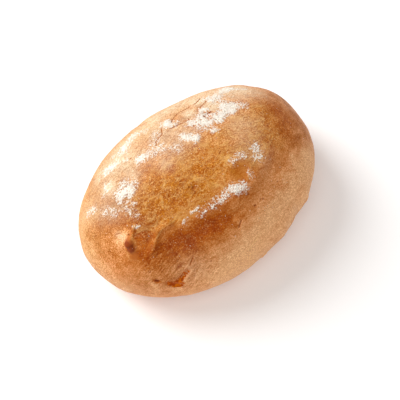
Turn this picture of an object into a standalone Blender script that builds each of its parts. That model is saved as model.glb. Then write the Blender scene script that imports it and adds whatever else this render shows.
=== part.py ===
"""Oval bread roll, baked crust all round, resting on the flat it was baked on.

The roll is one closed body.  A sphere of even triangles is blown up into the
loaf's own form: a long oval outline that is a little fuller on one side, a
domed top, a lower side that tucks under to a smaller flat base.  Relief is
then raised on it: the shoulder that runs along one long side, the fold and
the pinched nub at one end, the tear in the side below them, a shallow
blister and the lifted flake of crust on the top.

Frame: +X along the roll, +Z up, origin under the middle on the flat base.
Units are metres; the MM factor lets sizes be read in millimetres.
"""

import math

import bmesh
import bpy
import numpy as np

MM = 0.001

# ---------------------------------------------------------------- sizes ----
HALF_LENGTH = 54.52 * MM      # outline, from the dome's axis to either end
HALF_WIDTH = 37.56 * MM       # outline, from the dome's axis to either side
HEIGHT = 50.0 * MM            # base to crown
GIRTH_HEIGHT = 19.0 * MM      # height of the widest outline
TUCK_DEPTH = 25.0 * MM        # how far the lower side would run, uncut
BASE_BLEND = 1.6 * MM         # softness of the edge round the flat base

OUTLINE_POWER = 2.15          # 2 is an ellipse, more is squarer
DOME_SPREAD = 0.92            # how fast the dome spreads from the crown
DOME_RISE = 0.95
TUCK_SPREAD = 0.62            # how late the lower side pulls in
TUCK_RISE = 0.92

# Hand-shaped unevenness of the outline: (waves round it, cosine, sine).
OUTLINE_WAVES = (
    (1, -0.0071, 0.0059),
    (2, -0.0031, -0.0010),
    (3, 0.0045, 0.0120),
    (4, 0.0038, -0.0035),
    (5, -0.0073, -0.0014),
    (6, -0.0006, 0.0003),
)

# Where hands and neighbouring rolls pressed the girth: (bearing from +X in
# degrees, spread in degrees, rise in millimetres).
GIRTH_MARKS = (
    (11, 6, 0.75), (24, 4, -1.10), (98, 4, -0.70), (156, 6, -0.30),
    (171, 5, 0.45), (187, 5, -0.50), (205, 6, 0.45), (219, 4, -0.40),
    (263, 4, 0.40), (292, 4, 0.45), (307, 4, -0.80), (317, 4, 0.40),
    (356, 5, -0.35),
)
GIRTH_MARK_HEIGHT = 20.0 * MM
GIRTH_MARK_REACH = 14.0 * MM

# Slow lumps of the risen dough: (wave length, heading, climb, height).
LUMPS = (
    (46.0 * MM, 20.0, 10.0, 0.30 * MM),
    (37.0 * MM, 75.0, -35.0, 0.24 * MM),
    (29.0 * MM, 130.0, 25.0, 0.20 * MM),
    (23.0 * MM, 165.0, -15.0, 0.14 * MM),
    (19.0 * MM, 50.0, 40.0, 0.10 * MM),
)

# Lines and spots of the relief, in the dome's own frame, in millimetres.
SHOULDER_LINE = ((-20.6, -15.7, 44.9), (-10.1, -18.2, 45.8),
                 (1.1, -20.0, 46.4), (8.8, -20.2, 46.3),
                 (18.2, -16.5, 46.0), (24.6, -12.8, 45.4))
SHOULDER_RISE = 0.45 * MM
SHOULDER_WIDTH = 2.4 * MM

HOLLOW_LINE = ((-30.2, -18.2, 41.0), (-22.1, -20.6, 42.3),
               (-13.7, -22.6, 43.2), (-5.4, -24.9, 43.0),
               (3.8, -26.1, 42.5), (17.7, -23.4, 42.1))
HOLLOW_DEPTH = 0.50 * MM
HOLLOW_WIDTH = 4.2 * MM

FOLD_LINE = ((-26.0, -12.2, 45.0), (-31.2, -11.6, 43.8),
             (-33.5, -13.7, 42.3), (-35.7, -15.1, 40.6),
             (-37.6, -15.5, 39.4))
FOLD_RISE = 0.75 * MM
FOLD_WIDTH = 1.5 * MM

NUB_LINE = ((-42.2, -9.0, 39.2), (-41.4, -7.2, 40.1))
NUB_RISE = 1.9 * MM
NUB_RADIUS = 2.6 * MM
NUB_CREASE = ((-41.0, -6.6, 40.6), (-37.6, -5.0, 42.8))
NUB_CREASE_RISE = 0.6 * MM
NUB_CREASE_WIDTH = 1.2 * MM

TEAR_LINE = ((-29.7, -28.1, 31.6), (-33.2, -27.9, 28.4),
             (-35.2, -27.1, 27.5), (-37.4, -26.2, 26.8))
TEAR_DEPTH = 1.3 * MM
TEAR_WIDTH = 0.95 * MM
TEAR_POCKET = ((-37.2, -26.9, 25.6), (-34.0, -29.0, 24.2))
TEAR_POCKET_DEPTH = 0.9 * MM
TEAR_POCKET_WIDTH = 1.1 * MM

PUNCTURE = ((-41.3, -22.7, 29.0), (-40.9, -23.1, 28.8))
PUNCTURE_DEPTH = 0.8 * MM
PUNCTURE_WIDTH = 0.9 * MM

FLAKE_UPPER = ((2.0, 21.9, 45.2), (5.0, 23.5, 44.1), (8.0, 24.5, 43.0),
               (13.0, 23.6, 42.9))
FLAKE_LOWER = ((3.1, 21.6, 45.2), (6.4, 18.7, 46.3), (9.5, 18.0, 46.3))
FLAKE_DEPTH = 0.45 * MM
FLAKE_WIDTH = 0.8 * MM

BLISTER_LINE = ((8.2, -14.3, 48.5), (10.4, -13.1, 48.6))
BLISTER_RADIUS = 3.8 * MM
BLISTER_DEPTH = 0.30 * MM
BLISTER_RIM = 0.22 * MM

# ------------------------------------------------------------ triangles ----
SPHERE_STEPS = 5              # 5120 even triangles before refining
COARSE_REACH = 4.5 * MM       # triangles this near a detail are split once
FINE_REACH = 3.0 * MM         # and this near a small one, once more

# --------------------------------------------------------------- colour ----
CRUST_COLOUR = (0.58, 0.27, 0.10, 1.0)
CRUST_ROUGHNESS = 0.55
CRUST_METALLIC = 0.0

NAME = "bread_roll"


def path(points):
    """Points given in millimetres, as an array in metres."""
    return np.array(points, dtype=float) * MM


def soft_floor(height, blend):
    """Zero below the base plane, the height above it, eased between."""
    eased = (height + blend) ** 2 / (4.0 * blend)
    return np.where(height > blend, height,
                    np.where(height < -blend, 0.0, eased))


def smooth_step(value, low, high):
    t = np.clip((value - low) / (high - low), 0.0, 1.0)
    return t * t * (3.0 - 2.0 * t)


def loaf_form(directions):
    """Surface point of the plain loaf for each unit direction."""
    x, y, s = directions[:, 0], directions[:, 1], directions[:, 2]
    level = np.sqrt(np.maximum(1.0 - s * s, 0.0))
    bearing = np.arctan2(y, x)
    cos_b, sin_b = np.cos(bearing), np.sin(bearing)
    n = OUTLINE_POWER
    reach = ((np.abs(cos_b) / HALF_LENGTH) ** n
             + (np.abs(sin_b) / HALF_WIDTH) ** n) ** (-1.0 / n)
    swell = np.ones_like(reach)
    for count, cos_part, sin_part in OUTLINE_WAVES:
        swell += (cos_part * np.cos(count * bearing)
                  + sin_part * np.sin(count * bearing))
    reach = reach * swell
    upper = s >= 0.0
    spread = np.where(upper, level ** DOME_SPREAD, level ** TUCK_SPREAD)
    rise = HEIGHT - GIRTH_HEIGHT
    height = np.where(upper,
                      GIRTH_HEIGHT + rise * np.abs(s) ** DOME_RISE,
                      GIRTH_HEIGHT - TUCK_DEPTH * np.abs(s) ** TUCK_RISE)
    height = soft_floor(height, BASE_BLEND)
    return np.stack([reach * spread * cos_b, reach * spread * sin_b, height],
                    axis=1)


def outward(points):
    """Outward direction of the plain loaf, near enough for the relief."""
    lift = points[:, 2] - GIRTH_HEIGHT
    depth = np.where(lift >= 0.0, HEIGHT - GIRTH_HEIGHT, TUCK_DEPTH)
    normal = np.stack([points[:, 0] / HALF_LENGTH ** 2,
                       points[:, 1] / HALF_WIDTH ** 2,
                       lift / depth ** 2], axis=1)
    return normal / np.linalg.norm(normal, axis=1, keepdims=True)


def distance_to(points, line):
    """Shortest distance from each point to a chain of straight runs."""
    best = np.full(len(points), np.inf)
    for start, end in zip(line[:-1], line[1:]):
        run = end - start
        t = np.clip(((points - start) @ run) / (run @ run), 0.0, 1.0)
        gap = np.linalg.norm(points - (start + t[:, None] * run), axis=1)
        best = np.minimum(best, gap)
    return best


def bump(points, line, width):
    """A rounded ridge of height 1 along a line."""
    return np.exp(-(distance_to(points, path(line)) / width) ** 2)


def relief(points):
    """How far the crust stands proud of the plain loaf, in metres."""
    rise = np.zeros(len(points))
    for length, heading, climb, height in LUMPS:
        h, c = math.radians(heading), math.radians(climb)
        wave = np.array([math.cos(h) * math.cos(c),
                         math.sin(h) * math.cos(c),
                         math.sin(c)]) * (2.0 * math.pi / length)
        rise += height * np.sin(points @ wave + 0.01 * heading)

    bearing = np.degrees(np.arctan2(points[:, 1], points[:, 0]))
    level = np.exp(-((points[:, 2] - GIRTH_MARK_HEIGHT)
                     / GIRTH_MARK_REACH) ** 2)
    for mark, spread, height in GIRTH_MARKS:
        turn = (bearing - mark + 180.0) % 360.0 - 180.0
        rise += height * MM * level * np.exp(-(turn / spread) ** 2)

    rise += SHOULDER_RISE * bump(points, SHOULDER_LINE, SHOULDER_WIDTH)
    rise -= HOLLOW_DEPTH * bump(points, HOLLOW_LINE, HOLLOW_WIDTH)
    rise += FOLD_RISE * bump(points, FOLD_LINE, FOLD_WIDTH)

    to_nub = distance_to(points, path(NUB_LINE))
    rise += NUB_RISE * np.clip(1.0 - to_nub / NUB_RADIUS, 0.0, 1.0) ** 1.3
    rise += NUB_CREASE_RISE * bump(points, NUB_CREASE, NUB_CREASE_WIDTH)

    rise -= TEAR_DEPTH * bump(points, TEAR_LINE, TEAR_WIDTH)
    rise -= TEAR_POCKET_DEPTH * bump(points, TEAR_POCKET, TEAR_POCKET_WIDTH)
    rise -= PUNCTURE_DEPTH * bump(points, PUNCTURE, PUNCTURE_WIDTH)

    rise -= FLAKE_DEPTH * bump(points, FLAKE_UPPER, FLAKE_WIDTH)
    rise -= FLAKE_DEPTH * bump(points, FLAKE_LOWER, FLAKE_WIDTH)

    to_blister = distance_to(points, path(BLISTER_LINE)) / BLISTER_RADIUS
    rise -= BLISTER_DEPTH * np.exp(-to_blister ** 4)
    rise += BLISTER_RIM * np.exp(-((to_blister - 1.0) / 0.30) ** 2)

    # The relief dies away towards the base, which stays flat.
    return rise * smooth_step(points[:, 2], 1.5 * MM, 8.0 * MM)


def directions_of(bm):
    bm.verts.ensure_lookup_table()
    coords = np.array([v.co[:] for v in bm.verts])
    return coords / np.linalg.norm(coords, axis=1, keepdims=True)


def refine(bm, lines, reach):
    """Split each triangle whose middle lies near one of the lines."""
    points = loaf_form(directions_of(bm))
    bm.faces.ensure_lookup_table()
    corners = np.array([[v.index for v in f.verts] for f in bm.faces])
    middles = points[corners].mean(axis=1)
    near = np.full(len(middles), np.inf)
    for line in lines:
        near = np.minimum(near, distance_to(middles, path(line)))
    edges = {e for f, gap in zip(bm.faces, near) if gap < reach
             for e in f.edges}
    bmesh.ops.subdivide_edges(bm, edges=sorted(edges, key=lambda e: e.index),
                              cuts=1, use_grid_fill=True)
    bmesh.ops.triangulate(bm, faces=bm.faces[:])
    bm.verts.index_update()
    bm.edges.index_update()
    bm.faces.index_update()


def crust_material():
    material = bpy.data.materials.new("crust")
    material.use_nodes = True
    shader = material.node_tree.nodes["Principled BSDF"]
    shader.inputs["Base Color"].default_value = CRUST_COLOUR
    shader.inputs["Roughness"].default_value = CRUST_ROUGHNESS
    shader.inputs["Metallic"].default_value = CRUST_METALLIC
    material.diffuse_color = CRUST_COLOUR
    return material


def build_roll():
    bm = bmesh.new()
    bmesh.ops.create_icosphere(bm, subdivisions=SPHERE_STEPS, radius=1.0)
    bm.verts.index_update()
    bm.edges.index_update()
    bm.faces.index_update()
    refine(bm, (FOLD_LINE, NUB_LINE, NUB_CREASE, TEAR_LINE, TEAR_POCKET,
                PUNCTURE, FLAKE_UPPER, FLAKE_LOWER, BLISTER_LINE),
           COARSE_REACH)
    refine(bm, (NUB_LINE, TEAR_LINE, TEAR_POCKET, PUNCTURE), FINE_REACH)

    points = loaf_form(directions_of(bm))
    points = points + outward(points) * relief(points)[:, None]
    points[:, 2] = np.maximum(points[:, 2], 0.0)

    # The origin goes under the middle of the roll, on the base plane.
    low, high = points.min(axis=0), points.max(axis=0)
    points[:, :2] -= ((low + high) / 2.0)[:2]
    points[:, 2] -= low[2]

    for vert, co in zip(bm.verts, points):
        vert.co = co
    bmesh.ops.recalc_face_normals(bm, faces=bm.faces[:])
    mesh = bpy.data.meshes.new(NAME)
    bm.to_mesh(mesh)
    bm.free()
    mesh.shade_smooth()
    mesh.materials.append(crust_material())
    return bpy.data.objects.new(NAME, mesh)


def main():
    for old in list(bpy.data.objects):
        bpy.data.objects.remove(old, do_unlink=True)
    collection = bpy.data.collections.new(NAME)
    bpy.context.scene.collection.children.link(collection)
    collection.objects.link(build_roll())


main()
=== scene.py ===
"""Looks of the oval bread roll: baked crust, cracks, pores and dusted flour.

The crust is one closed mesh.  It takes the loaf's own form and relief from
the same named sizes as the CAD part, on a much finer grid, and adds what a
baked skin has on it: grain, wrinkles, streaks, creases, blisters, cracks,
pores, and a layer of flour with real thickness.  Loose flour grains are a
second piece.

Sizes are millimetres in the dome's own frame (+X along the roll, +Z up, base
at 0) unless a name says otherwise, and become metres when a mesh is made.
"""

import math

import bmesh
import bpy
import numpy as np
from mathutils import Matrix, Vector


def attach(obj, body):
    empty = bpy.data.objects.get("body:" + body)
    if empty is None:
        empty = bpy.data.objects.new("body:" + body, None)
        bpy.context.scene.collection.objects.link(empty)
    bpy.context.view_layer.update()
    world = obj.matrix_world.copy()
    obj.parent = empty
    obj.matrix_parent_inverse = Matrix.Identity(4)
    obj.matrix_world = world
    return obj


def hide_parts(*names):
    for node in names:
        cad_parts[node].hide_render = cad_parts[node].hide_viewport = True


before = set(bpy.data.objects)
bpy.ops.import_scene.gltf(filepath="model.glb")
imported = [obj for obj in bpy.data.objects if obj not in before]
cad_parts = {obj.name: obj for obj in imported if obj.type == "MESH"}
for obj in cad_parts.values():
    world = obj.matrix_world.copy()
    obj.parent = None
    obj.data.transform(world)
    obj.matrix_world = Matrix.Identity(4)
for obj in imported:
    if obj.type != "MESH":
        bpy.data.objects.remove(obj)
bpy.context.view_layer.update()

MM = 0.001
NODE = "bread_roll"

# ======================================================== the loaf's form ===
HALF_LENGTH = 54.52
HALF_WIDTH = 37.56
HEIGHT = 50.0
GIRTH_HEIGHT = 19.0
TUCK_DEPTH = 25.0
BASE_BLEND = 1.6
OUTLINE_POWER = 2.15
DOME_SPREAD = 0.92
DOME_RISE = 0.95
TUCK_SPREAD = 0.62
TUCK_RISE = 0.92

OUTLINE_WAVES = (
    (1, -0.0071, 0.0059), (2, -0.0031, -0.0010), (3, 0.0045, 0.0120),
    (4, 0.0038, -0.0035), (5, -0.0073, -0.0014), (6, -0.0006, 0.0003),
)
GIRTH_MARKS = (
    (11, 6, 0.75), (24, 4, -1.10), (98, 4, -0.70), (156, 6, -0.30),
    (171, 5, 0.45), (187, 5, -0.50), (205, 6, 0.45), (219, 4, -0.40),
    (263, 4, 0.40), (292, 4, 0.45), (307, 4, -0.80), (317, 4, 0.40),
    (356, 5, -0.35),
)
GIRTH_MARK_HEIGHT = 20.0
GIRTH_MARK_REACH = 14.0
LUMPS = (   # wave length, heading, climb, height
    (46.0, 20.0, 10.0, 0.30), (37.0, 75.0, -35.0, 0.24),
    (29.0, 130.0, 25.0, 0.20), (23.0, 165.0, -15.0, 0.14),
    (19.0, 50.0, 40.0, 0.10),
)

SHOULDER_LINE = ((-20.6, -15.7, 44.9), (-10.1, -18.2, 45.8),
                 (1.1, -20.0, 46.4), (8.8, -20.2, 46.3),
                 (18.2, -16.5, 46.0), (24.6, -12.8, 45.4))
HOLLOW_LINE = ((-30.2, -18.2, 41.0), (-22.1, -20.6, 42.3),
               (-13.7, -22.6, 43.2), (-5.4, -24.9, 43.0),
               (3.8, -26.1, 42.5), (17.7, -23.4, 42.1))
FOLD_LINE = ((-26.0, -12.2, 45.0), (-31.2, -11.6, 43.8),
             (-33.5, -13.7, 42.3), (-35.7, -15.1, 40.6),
             (-37.6, -15.5, 39.4))
NUB_LINE = ((-42.2, -9.0, 39.2), (-41.4, -7.2, 40.1))
NUB_CREASE = ((-41.0, -6.6, 40.6), (-37.6, -5.0, 42.8))
TEAR_LINE = ((-29.7, -28.1, 31.6), (-33.2, -27.9, 28.4),
             (-35.2, -27.1, 27.5), (-37.4, -26.2, 26.8))
TEAR_POCKET = ((-37.2, -26.9, 25.6), (-34.0, -29.0, 24.2))
TORN = (                    # where the orange crumb shows: line, radius
    (((-37.4, -26.6, 25.9), (-34.8, -28.3, 25.0), (-33.2, -29.2, 25.4)), 1.0),
    (((-36.0, -27.8, 23.9), (-34.0, -29.1, 23.9)), 0.9),
    (((-33.9, -28.3, 27.2), (-33.6, -29.0, 25.5)), 1.1),
    (((-35.0, -27.6, 26.8), (-32.9, -28.2, 28.3)), 0.80),
    (((-32.9, -28.2, 28.3), (-31.2, -28.4, 29.9)), 0.62),
    (((-31.2, -28.4, 29.9), (-29.9, -28.3, 31.2)), 0.45),
)
PUNCTURE = ((-41.3, -22.7, 29.0), (-40.9, -23.1, 28.8))
FLAKE_UPPER = ((2.0, 21.9, 45.2), (5.0, 23.5, 44.1), (8.0, 24.5, 43.0),
               (13.0, 23.6, 42.9))
FLAKE_LOWER = ((3.1, 21.6, 45.2), (6.4, 18.7, 46.3), (9.5, 18.0, 46.3))
NUB_KNOB = (-41.8, -7.4, 39.9)
NUB_CREST = ((-41.0, -6.6, 40.6), (-39.1, -5.9, 41.9), (-37.3, -4.6, 43.1))
NUB_DARK = ((-42.9, -7.6, 40.6), (-43.2, -9.2, 39.8))
# The nub's paler cap: partly its own colour, partly a painted highlight on its
# lit top.
NUB_CAP = ((-42.6, -6.3, 40.4), (-41.5, -6.0, 41.0))
# Painted shadow that the nub casts on the skin below it.
NUB_SHADOW = ((-42.8, -10.0, 38.3), (-43.3, -11.8, 37.2))
TEAR_LIP = ((-38.5, -26.4, 25.0), (-35.9, -28.2, 23.6), (-33.1, -29.8, 23.2))
PUNCTURE_LIP = ((-42.6, -22.2, 27.9), (-41.7, -23.5, 27.2),
                (-39.9, -24.0, 28.0))
BLISTER_LINE = ((8.2, -14.3, 48.5), (10.4, -13.1, 48.6))
BLISTER_RADIUS = 3.8
RIM_STEP = ((4.3, -37.3, 14.0), (2.7, -37.2, 12.6))      # lumps on the side
RIM_CORNER = ((32.4, -31.2, 19.8), (31.8, -31.5, 18.2))

# ============================================================ mesh sizes ===
GRID_STEPS = 98             # quads along each side of the sphere's six faces
CROWN_GATHER = 0.28         # how much denser the grid is on top than below
SPLIT_REACH = 1.6           # quads this near a fine detail are split
CREASE_REACH = 0.65         # and those this near a crease

# ============================================================ flour dust ===
# A thin even veil of flour, seen from above: line, width, strength.
VEIL = (
    (((1.5, 30.0), (9.0, 29.5), (24.0, 26.0), (37.0, 20.5)), 8.8, 0.60),
    (((-17.5, 29.5), (-7.5, 28.5), (-1.0, 19.0), (4.0, 12.5)), 9.8, 0.40),
    (((-29.5, 27.0), (-22.5, 22.0), (-12.5, 16.0), (-5.0, 11.0)), 9.8, 0.30),
    (((-37.5, 20.0), (-31.0, 17.5), (-28.0, 12.0)), 9.9, 0.15),
    (((-46.0, 16.5), (-42.0, 11.5), (-38.5, 7.5)), 8.6, 0.25),
    (((32.0, 16.0), (41.0, 13.0)), 8.4, 0.45),
    (((16.5, -8.0), (20.5, -13.5)), 9.2, 0.15),
    (((-43.0, -1.5), (-42.0, -4.0)), 2.0, 0.35),
    (((20.0, 17.0),), 5.0, 1.00),
    (((11.0, 20.0),), 5.0, 0.75),
    (((23.0, 2.5),), 12.0, 0.30),
    (((-33.5, 16.0),), 5.0, 0.70),
    (((-23.0, 23.5),), 12.0, 0.35),
    (((-12.0, 7.0),), 5.0, 0.30),
    (((18.0, 23.0),), 5.0, 0.60),
    (((-33.0, 24.5),), 5.0, 0.30),
    (((-24.0, 13.0),), 5.0, 0.35),
    (((-27.0, -29.0),), 10.0, 0.15),
    (((25.5, 19.0),), 5.0, 0.25),
)
# Dabs of flour: line, width, share of the crust they cover.
FLOUR = (
    (((33.5, 21.5), (39.0, 17.0)), 1.8, 0.40),
    (((32.5, 21.0), (35.0, 21.0)), 1.3, 0.50),
    (((25.5, 10.0), (23.5, 14.0)), 2.5, 0.40),
    (((24.5, 14.5), (30.0, 10.0)), 3.4, 0.45),
    (((23.0, 20.0), (32.5, 23.0)), 3.4, 0.75),
    (((20.5, 23.0), (23.0, 22.5)), 2.5, 0.35),
    (((19.0, -13.0), (21.0, -9.0)), 3.4, 0.45),
    (((18.0, 8.5), (19.0, 11.0)), 1.3, 0.70),
    (((17.5, 10.5), (26.0, 12.0)), 3.4, 0.90),
    (((16.0, 18.5), (17.5, 17.0)), 1.3, 0.55),
    (((13.0, -9.0), (14.5, -10.0)), 2.5, 0.35),
    (((12.0, 6.5), (14.0, 6.0)), 1.8, 0.60),
    (((11.0, 10.0), (16.0, 17.5)), 3.4, 0.45),
    (((8.0, 15.5), (13.0, 11.0)), 3.4, 0.65),
    (((3.5, 7.5), (5.5, 9.0)), 1.8, 0.55),
    (((2.0, -18.0), (6.0, -19.5)), 3.4, 0.50),
    (((2.0, -19.5), (3.5, -18.0)), 1.3, 0.50),
    (((1.5, 11.5), (4.0, 8.5)), 2.5, 0.85),
    (((0.5, 21.0), (1.5, 24.0)), 1.8, 0.55),
    (((0.5, 23.5), (3.0, 20.0)), 3.4, 0.45),
    (((-4.0, -17.5), (-0.5, -17.0)), 2.3, 0.40),
    (((-8.0, -17.5), (-5.0, -18.0)), 2.9, 0.30),
    (((-14.0, -17.5), (-11.0, -17.0)), 2.6, 0.20),
    (((-16.0, -15.0), (-13.0, -15.0)), 1.1, 0.50),
    (((-21.5, -15.5), (-19.5, -15.5)), 1.1, 0.40),
    (((-35.5, 4.5), (-33.5, -1.0)), 3.0, 0.25),
    (((11.5, -18.0), (12.0, -16.0)), 2.0, 0.25),
    (((-9.0, 14.0), (-4.0, 9.0)), 3.4, 0.30),
    (((-10.0, 29.0), (-7.0, 26.5)), 2.5, 0.25),
    (((-12.0, 15.0), (-6.0, 21.0)), 3.4, 0.30),
    (((-18.0, 16.5), (-16.0, 16.5)), 3.4, 0.65),
    (((-19.5, 26.0), (-12.5, 29.0)), 3.4, 0.55),
    (((-28.5, 13.0), (-26.0, 10.0)), 2.5, 0.45),
    (((-29.0, 24.0), (-25.0, 23.5)), 3.4, 0.55),
    (((-29.0, 25.5), (-26.0, 23.0)), 1.3, 0.50),
    (((-32.5, 10.5), (-29.0, 8.5)), 3.4, 0.85),
    (((-34.5, 7.5), (-31.5, 10.0)), 1.3, 0.40),
    (((-35.5, 16.0), (-34.0, 17.5)), 3.4, 0.40),
    (((-37.0, -4.0), (-35.5, -5.5)), 1.0, 0.45),
    (((-41.0, 9.5), (-38.5, 6.0)), 3.4, 0.30),
    (((-45.0, 15.5), (-43.0, 15.0)), 2.5, 0.50),
    (((25.5, 17.0),), 2.4, 0.60),
    (((25.0, 9.5),), 1.6, 0.50),
    (((17.0, 13.0),), 2.4, 0.45),
    (((12.5, 16.0),), 2.4, 0.40),
    (((8.5, -9.5),), 2.5, 0.35),
    (((-17.5, 27.5),), 2.5, 0.75),
    (((-21.0, 21.5),), 1.8, 0.35),
    (((-23.0, 28.0),), 1.3, 0.40),
    (((-31.0, 7.0),), 2.4, 0.30),
    (((-31.5, 3.0),), 1.8, 0.40),
)
FLOUR_THICKNESS = 0.16
GRAIN_COUNT = 2600          # loose grains lying in the dabs
DUST_COUNT = 170            # and single ones over the rest of the top
GRAIN_SIZES = (0.09, 0.34)  # their half width, smallest and largest

# ================================================================ cracks ===
# Plan points, full width, strength.
CRACKS = (
    (((1.9, 21.5), (5.5, 23.4), (8.8, 24.2), (12.9, 23.4), (17.1, 23.4),
      (20.3, 24.7)), 0.5, 1.0),
    (((0.3, 19.1), (2.7, 18.6), (5.7, 17.8), (8.8, 17.8)), 0.5, 0.9),
    (((13.9, 14.3), (15.8, 15.0), (17.9, 15.1)), 0.7, 1.0),
    (((16.2, 19.9), (21.0, 21.2)), 0.5, 0.7),
    (((-1.7, 22.6), (-4.2, 19.0), (-5.6, 18.9), (-8.1, 18.1),
      (-9.0, 16.2)), 0.5, 0.7),
    (((15.1, 12.2), (16.4, 11.4), (16.8, 9.9)), 0.4, 0.8),
    (((24.8, 16.6), (25.3, 16.7)), 0.5, 0.7),
    (((26.1, 16.0), (26.8, 16.2)), 0.4, 0.7),
    (((-6.2, 33.2), (-3.5, 31.4), (-1.8, 30.4)), 0.45, 0.9),
    (((-31.8, 8.5), (-30.6, 7.8)), 0.5, 0.9),
    (((-33.3, 10.1), (-33.9, 9.9)), 0.4, 0.6),
    (((-19.8, 20.1), (-19.1, 20.3)), 0.5, 0.6),
    (((7.2, -3.2), (8.4, -2.9)), 0.5, 0.9),
    (((5.1, -3.1), (4.3, -4.1)), 0.5, 0.6),
    (((-10.8, -8.6), (-10.3, -9.5)), 0.4, 0.9),
    (((-48.8, 10.7), (-50.1, 8.9), (-51.2, 6.8)), 0.4, 0.7),
    (((-43.8, -0.6), (-41.4, -2.1)), 0.4, 0.5),
    (((-25.7, -26.5), (-26.7, -27.0), (-27.8, -27.4)), 0.5, 0.9),
    (((-2.0, -27.8), (-3.1, -28.5), (-4.2, -29.2)), 0.6, 1.0),
    (((6.2, -26.7), (7.3, -26.7), (8.7, -26.5), (9.8, -26.0)), 0.25, 0.35),
)
CRACK_DEPTH = 0.27

# Plan point, diameter, strength.
PORES = (
    ((-11.2, -6.9), 0.8, 1.0), ((-10.0, -8.0), 1.5, 1.0),
    ((6.2, -26.7), 0.8, 1.0), ((10.7, -26.4), 0.8, 1.0),
    ((9.8, -26.0), 0.6, 0.8), ((20.3, -24.2), 0.6, 0.8),
    ((6.3, -22.4), 1.1, 0.8), ((-1.5, -3.5), 0.7, 0.6),
    ((-4.3, -6.6), 0.7, 0.6), ((7.8, 13.6), 0.7, 0.8),
    ((9.6, 12.4), 0.6, 0.6), ((-40.2, -4.7), 0.9, 1.0),
    ((-42.9, -17.7), 0.7, 0.6), ((-41.6, -19.6), 0.7, 0.7),
    ((-20.2, -31.4), 0.7, 0.8), ((-4.0, -36.2), 0.9, 0.35),
)
PORE_DEPTH = 0.45

# Creases of the drawn skin, seen from above: line, strength. Ridges stand up
# and are lighter, partly paler skin and partly painted highlight on the flank
# the key light falls on, and furrows are sunk and browner, partly painted
# shade on the flank turned from it.
RIDGES = (
    # The crest of the fold, and the skin drawn up to the nub.
    (((-29.0, -12.0), (-33.5, -13.5), (-36.5, -15.5)), 0.22),
    (((-35.0, -5.0), (-38.0, -3.7), (-41.0, -4.5), (-44.0, -5.5)), 0.20),
    (((-44.0, -8.0), (-45.0, -11.0), (-43.0, -14.0)), 0.18),
    # The crown's middle, and round the blister.
    (((-4.5, -5.5), (-4.0, -9.5), (-0.5, -15.0)), 0.20),
    (((0.5, -14.5), (2.5, -11.5), (6.0, -9.5)), 0.20),
    (((18.5, -13.0), (12.5, -15.5), (9.5, -18.0)), 0.22),
    (((30.5, -9.0), (27.0, -11.0), (23.5, -9.5)), 0.24),
    # Beside the lifted flake.
    (((10.0, 19.0), (7.0, 17.0), (-0.5, 17.5)), 0.24),
    (((20.5, 26.5), (10.0, 25.5), (1.5, 21.0)), 0.20),
    # A faint pale one down the flank.
    (((2.5, -34.5), (-4.0, -36.0)), 0.30),
)
FURROWS = (
    # Between the nub and the fold, and along the crown's middle.
    (((-34.5, -10.0), (-37.5, -12.5)), 0.24),
    (((-22.0, -3.5), (-16.0, -6.0)), 0.20),
    (((-12.0, -9.5), (-6.5, -12.5)), 0.20),
)
CREASE_HALF_WIDTH = 0.30
RIDGE_HEIGHT = 0.42         # at strength 1
FURROW_DEPTH = 0.50

# Faint raised rims of flattened blisters: plan point, diameter, strength.
RINGS = (
    ((-42.1, -16.8), 4.7, 1.0), ((-47.0, -12.7), 2.7, 0.8),
    ((3.1, -6.4), 2.9, 1.0),
    ((-38.5, -8.6), 2.9, 0.9),
)
RING_RISE = 0.12


# ================================================================= baking ===
# How brown the crust baked: 0 is pale, 1 is deep orange brown.
CROWN_BAKE = 0.52
SIDE_BAKE = 0.30
SIDE_HEIGHTS = (19.0, 34.0)         # where the side's baking meets the crown's
BASE_BAKE = 0.42                    # added on the base, which lay on the tray
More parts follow.
